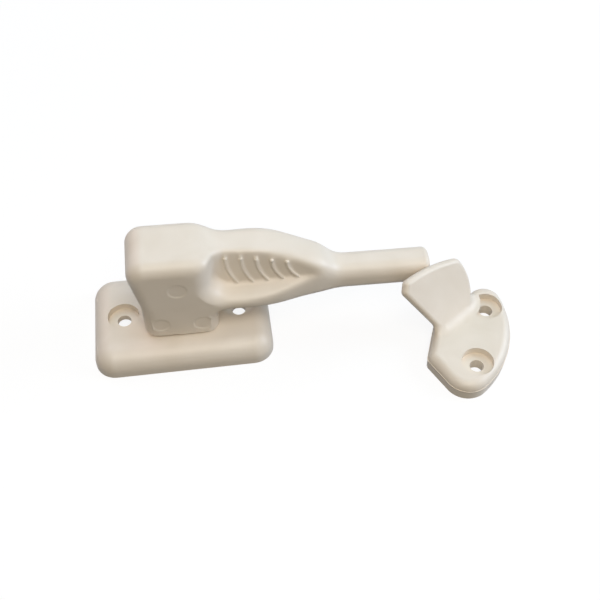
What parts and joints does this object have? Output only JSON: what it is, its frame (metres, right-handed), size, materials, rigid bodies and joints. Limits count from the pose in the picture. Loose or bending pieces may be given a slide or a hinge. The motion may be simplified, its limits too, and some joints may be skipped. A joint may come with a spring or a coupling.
{
  "type": "door catch",
  "caption": "Sprung door catch in ivory plastic: a swivelling lever with a thumb scoop on a screw-down base plate, and a separate keeper plate with a leaning fin.",
  "frame": {"origin": "on the lever's swivel axis, in the plane of the base plate's underside", "axes": "+X along the lever from its head to its tip, +Z away from the surface that the catch is screwed to, -Y the side with the thumb scoop"},
  "size_m": [0.1445, 0.0635, 0.0438],
  "materials": {
    "ivory_plastic": "satin",
    "spring_steel": "drawn",
    "zinc_plated_steel": "plated"
  },
  "bodies": {
    "base": {"base_plate": "ivory_plastic", "washer": "zinc_plated_steel", "torsion_spring": "spring_steel", "keeper": "ivory_plastic"},
    "swivel_lever": {"lever": "ivory_plastic", "pivot_screw": "zinc_plated_steel"}
  },
  "joints": [
    {"name": "lever_swivel", "type": "hinge", "parent": "base", "child": "swivel_lever", "pos_m": [0, 0, 0.0085], "axis": [0, 0, 1], "range_deg": [0, 40], "stiffness_Nm_per_rad": 0.073, "springref_deg": -57.3, "deforming": ["torsion_spring"]}
  ]
}
